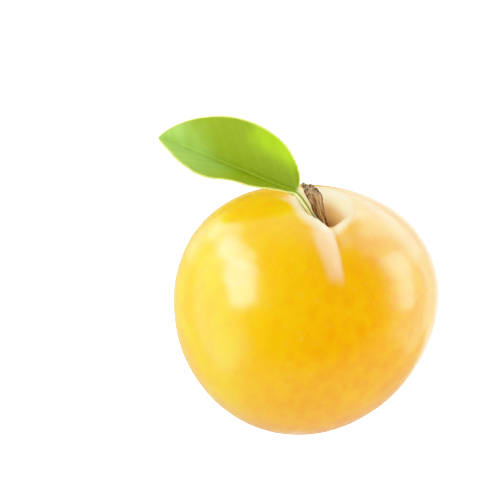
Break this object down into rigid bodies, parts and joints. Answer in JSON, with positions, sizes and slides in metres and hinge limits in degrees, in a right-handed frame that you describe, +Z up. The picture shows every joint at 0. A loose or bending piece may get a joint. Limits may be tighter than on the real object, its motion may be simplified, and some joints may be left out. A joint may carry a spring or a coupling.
{
  "type": "yellow plum with stem and leaf",
  "caption": "Round yellow plum with a seam down its cheek, a short woody stem in its cavity and one pointed green leaf, resting on a small flat spot.",
  "frame": {"origin": "centre of the small flat spot that the fruit rests on", "axes": "+Z up from the resting spot, -Y towards the front, where the seam shows, +X to the right seen from the front"},
  "size_m": [0.0574, 0.0497, 0.0616],
  "materials": {
    "skin": "waxy ripe yellow fruit skin with a soft gloss and faint streaks",
    "bark": "dry ridged bark with a ragged end",
    "leaf": "fresh green leaf with a pale midrib, fine veins and a satin sheen"
  },
  "bodies": {
    "root": {"fruit": "skin", "stem": "bark", "leaf": "leaf"}
  },
  "joints": []
}
